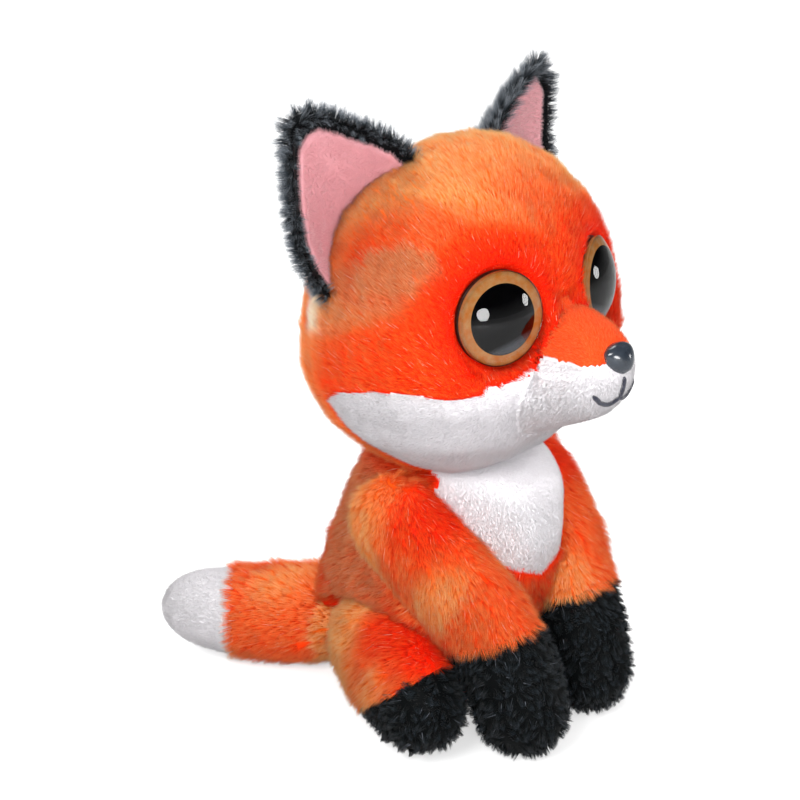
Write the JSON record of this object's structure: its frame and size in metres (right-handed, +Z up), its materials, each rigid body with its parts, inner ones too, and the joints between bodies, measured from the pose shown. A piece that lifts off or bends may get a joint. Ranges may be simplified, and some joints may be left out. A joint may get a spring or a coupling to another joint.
{
  "type": "plush fox",
  "caption": "Small seated plush fox with a large head, glitter safety eyes, plastic nose and soft limbs that bend at their sewn seams.",
  "frame": {"origin": "middle of the flat seat, on the surface that the fox sits on", "axes": "+Z up; the fox looks along -Y; its left side is at +X"},
  "size_m": [0.0864, 0.1122, 0.1435],
  "materials": {
    "plush_orange": "glossy long-pile plush, orange red with lighter tips and brown patches",
    "plush_orange_short": "short smooth orange plush",
    "plush_white": "white plush",
    "plush_white_short": "short smooth white plush",
    "plush_black": "curly black plush",
    "plush_pink": "soft short pink plush",
    "filling": "loose polyester filling",
    "beans": "small plastic pellets in a cloth pouch",
    "eye_backing": "black moulded plastic",
    "eye_glitter": "golden brown glitter",
    "eye_pupil": "polished black",
    "eye_lens": "clear polished dome",
    "lock_washer": "plain moulded plastic",
    "nose_plastic": "polished dark slate plastic",
    "mouth_thread": "navy black embroidery thread"
  },
  "bodies": {
    "torso": {"body_skin": "plush_orange", "bib": "plush_white", "seat_panel": "plush_orange", "body_stuffing": "filling", "bean_pouch": "beans"},
    "neck": {"neck_stuffing": "filling"},
    "head": {"head_skin": "plush_orange", "cheek_left": "plush_white", "cheek_right": "plush_white", "muzzle_top": "plush_orange_short", "muzzle_lower": "plush_white_short", "head_stuffing": "filling", "eye_cup_left": "eye_backing", "eye_cup_right": "eye_backing", "eye_iris_left": "eye_glitter", "eye_iris_right": "eye_glitter", "eye_pupil_left": "eye_pupil", "eye_pupil_right": "eye_pupil", "eye_lens_left": "eye_lens", "eye_lens_right": "eye_lens", "eye_washer_left": "lock_washer", "eye_washer_right": "lock_washer", "nose": "nose_plastic", "nose_washer": "lock_washer", "mouth_stitch": "mouth_thread"},
    "ear_left": {"ear_back_left": "plush_black", "ear_lining_left": "plush_pink"},
    "ear_right": {"ear_back_right": "plush_black", "ear_lining_right": "plush_pink"},
    "front_leg_left": {"front_sleeve_left": "plush_orange", "front_paw_left": "plush_black", "front_stuffing_left": "filling"},
    "front_leg_right": {"front_sleeve_right": "plush_orange", "front_paw_right": "plush_black", "front_stuffing_right": "filling"},
    "hind_leg_left": {"hind_sleeve_left": "plush_orange", "hind_paw_left": "plush_black", "hind_stuffing_left": "filling"},
    "hind_leg_right": {"hind_sleeve_right": "plush_orange", "hind_paw_right": "plush_black", "hind_stuffing_right": "filling"},
    "tail": {"tail_sleeve": "plush_orange", "tail_tip": "plush_white", "tail_stuffing": "filling"}
  },
  "joints": [
    {"name": "head_turn", "type": "hinge", "parent": "torso", "child": "neck", "pos_m": [0, -0.008, 0.096], "axis": [0, 0, 1], "range_deg": [-30, 30], "stiffness_Nm_per_rad": 0.3},
    {"name": "head_nod", "type": "hinge", "parent": "neck", "child": "head", "pos_m": [0, -0.008, 0.096], "axis": [1, 0, 0], "range_deg": [-12, 12], "stiffness_Nm_per_rad": 0.3},
    {"name": "ear_flop_left", "type": "hinge", "parent": "head", "child": "ear_left", "pos_m": [0.0234, 0.0074, 0.1182], "axis": [0.7493, 0.1593, -0.6428], "range_deg": [-15, 15], "stiffness_Nm_per_rad": 0.02},
    {"name": "ear_flop_right", "type": "hinge", "parent": "head", "child": "ear_right", "pos_m": [-0.0234, 0.0074, 0.1182], "axis": [-0.7493, 0.1593, -0.6428], "range_deg": [-15, 15], "stiffness_Nm_per_rad": 0.02},
    {"name": "front_leg_lift_left", "type": "hinge", "parent": "torso", "child": "front_leg_left", "pos_m": [0.0214, -0.0074, 0.051], "axis": [-1, 0, 0], "range_deg": [0, 40], "stiffness_Nm_per_rad": 0.08},
    {"name": "front_leg_lift_right", "type": "hinge", "parent": "torso", "child": "front_leg_right", "pos_m": [-0.0214, -0.0074, 0.051], "axis": [-1, 0, 0], "range_deg": [0, 40], "stiffness_Nm_per_rad": 0.08},
    {"name": "hind_leg_splay_left", "type": "hinge", "parent": "torso", "child": "hind_leg_left", "pos_m": [0.0178, 0.0005, 0.017], "axis": [0, 0, 1], "range_deg": [0, 25], "stiffness_Nm_per_rad": 0.06},
    {"name": "hind_leg_splay_right", "type": "hinge", "parent": "torso", "child": "hind_leg_right", "pos_m": [-0.0178, 0.0005, 0.017], "axis": [0, 0, -1], "range_deg": [0, 25], "stiffness_Nm_per_rad": 0.06},
    {"name": "tail_wag", "type": "hinge", "parent": "torso", "child": "tail", "pos_m": [-0.0066, 0.0215, 0.0115], "axis": [0, 0, 1], "range_deg": [-25, 25], "stiffness_Nm_per_rad": 0.05}
  ]
}
